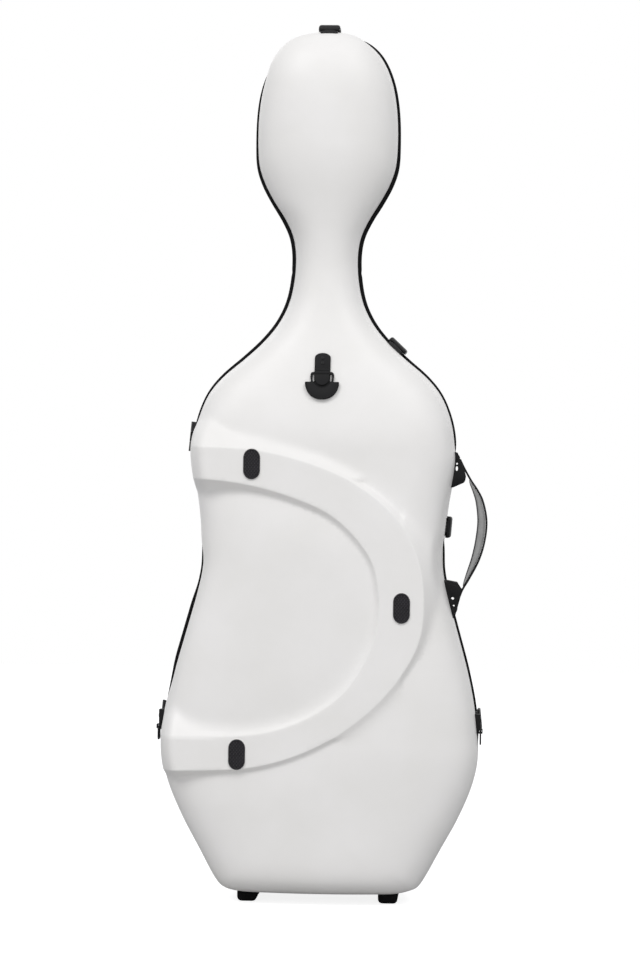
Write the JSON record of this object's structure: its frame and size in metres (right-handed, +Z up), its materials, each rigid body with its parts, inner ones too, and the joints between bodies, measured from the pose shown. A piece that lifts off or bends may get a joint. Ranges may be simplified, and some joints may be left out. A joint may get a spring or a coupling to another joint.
{
  "type": "cello hard case",
  "caption": "Hard-shell cello case standing on its feet: two moulded shells hinged at one side, with lever latches, a raised rest band, a side handle and strap anchors.",
  "frame": {"origin": "middle of the underside of the bounding box, on the floor", "axes": "+Z up along the case, back shell towards -Y, lid towards +Y, hinges on the -X side"},
  "size_m": [0.507, 0.287, 1.35],
  "materials": {
    "shell_paint": "satin white lacquer on the moulded shells",
    "rubber": "matt black rubber",
    "plastic": "fine-grained black plastic",
    "hardware": "satin black coated metal",
    "steel": "dull steel",
    "grip_pad": "soft grey padded grip",
    "webbing": "black woven webbing",
    "plush": "dark grey plush lining",
    "foam": "plush-covered foam"
  },
  "bodies": {
    "back": {"back_shell": "shell_paint", "back_liner": "plush", "back_rim": "rubber", "rest_pad_top": "rubber", "rest_pad_side": "rubber", "rest_pad_bottom": "rubber", "foot_back_left": "rubber", "foot_back_right": "rubber", "latch_base_top": "hardware", "latch_base_shoulder": "hardware", "latch_base_waist": "hardware", "latch_base_lower": "hardware", "hinge_leaf_back_upper": "hardware", "hinge_pin_upper": "steel", "handle_bracket_upper": "plastic", "anchor_screw_upper": "steel", "hinge_leaf_back_lower": "hardware", "hinge_pin_lower": "steel", "handle_bracket_lower": "plastic", "anchor_screw_lower": "steel", "handle_strap": "webbing", "handle_grip": "grip_pad", "anchor_plate": "plastic", "side_anchor_left": "plastic", "upper_pad_left": "foam", "lower_pad_left": "foam", "side_anchor_right": "plastic", "upper_pad_right": "foam", "lower_pad_right": "foam", "neck_cradle": "foam", "end_block": "foam"},
    "lid": {"front_shell": "shell_paint", "front_liner": "plush", "front_rim": "rubber", "foot_front_left": "rubber", "foot_front_right": "rubber", "latch_keeper_top": "hardware", "latch_keeper_shoulder": "hardware", "latch_keeper_waist": "hardware", "latch_keeper_lower": "hardware", "hinge_leaf_lid_upper": "hardware", "hinge_leaf_lid_lower": "hardware", "bow_clip_left": "plastic", "bow_clip_right": "plastic", "bow_rest": "foam"},
    "latch_lever_top": {"latch_lever_top": "hardware"},
    "latch_lever_shoulder": {"latch_lever_shoulder": "hardware"},
    "latch_lever_waist": {"latch_lever_waist": "hardware"},
    "latch_lever_lower": {"latch_lever_lower": "hardware"},
    "anchor_ring": {"anchor_ring": "plastic"},
    "side_ring_left": {"side_ring_left": "hardware"},
    "side_ring_right": {"side_ring_right": "hardware"},
    "bow_turn_left": {"bow_turn_left": "plastic"},
    "bow_turn_right": {"bow_turn_right": "plastic"}
  },
  "joints": [
    {"name": "lid_hinge", "type": "hinge", "parent": "back", "child": "lid", "pos_m": [-0.2095, -0.0125, 0.71194], "axis": [0.0905, 0, 0.9959], "range_deg": [0, 135]},
    {"name": "latch_top_turn", "type": "hinge", "parent": "back", "child": "latch_lever_top", "pos_m": [-0.00248, -0.0275, 1.3424], "axis": [1, 0, 0], "range_deg": [0, 95]},
    {"name": "latch_shoulder_turn", "type": "hinge", "parent": "back", "child": "latch_lever_shoulder", "pos_m": [0.11003, -0.0275, 0.85606], "axis": [0.7283, 0, -0.6853], "range_deg": [0, 95]},
    {"name": "latch_waist_turn", "type": "hinge", "parent": "back", "child": "latch_lever_waist", "pos_m": [0.19112, -0.0275, 0.57667], "axis": [-0.0777, 0, -0.997], "range_deg": [0, 95]},
    {"name": "latch_lower_turn", "type": "hinge", "parent": "back", "child": "latch_lever_lower", "pos_m": [0.24441, -0.0275, 0.28131], "axis": [0.1077, 0, -0.9942], "range_deg": [0, 95]},
    {"name": "anchor_ring_swing", "type": "hinge", "parent": "back", "child": "anchor_ring", "pos_m": [-0.00248, -0.11064, 0.80866], "axis": [-1, 0, 0], "range_deg": [0, 140]},
    {"name": "side_ring_left_swing", "type": "hinge", "parent": "back", "child": "side_ring_left", "pos_m": [-0.24907, -0.0625, 0.26609], "axis": [0, 1, 0], "range_deg": [0, 120]},
    {"name": "side_ring_right_swing", "type": "hinge", "parent": "back", "child": "side_ring_right", "pos_m": [0.2441, -0.0625, 0.26609], "axis": [0, -1, 0], "range_deg": [0, 120]},
    {"name": "bow_turn_left_spin", "type": "hinge", "parent": "lid", "child": "bow_turn_left", "pos_m": [-0.05049, 0.1144, 0.31733], "axis": [0, 1, 0], "range_deg": [-90, 90]},
    {"name": "bow_turn_right_spin", "type": "hinge", "parent": "lid", "child": "bow_turn_right", "pos_m": [0.04551, 0.1144, 0.31733], "axis": [0, 1, 0], "range_deg": [-90, 90]}
  ]
}
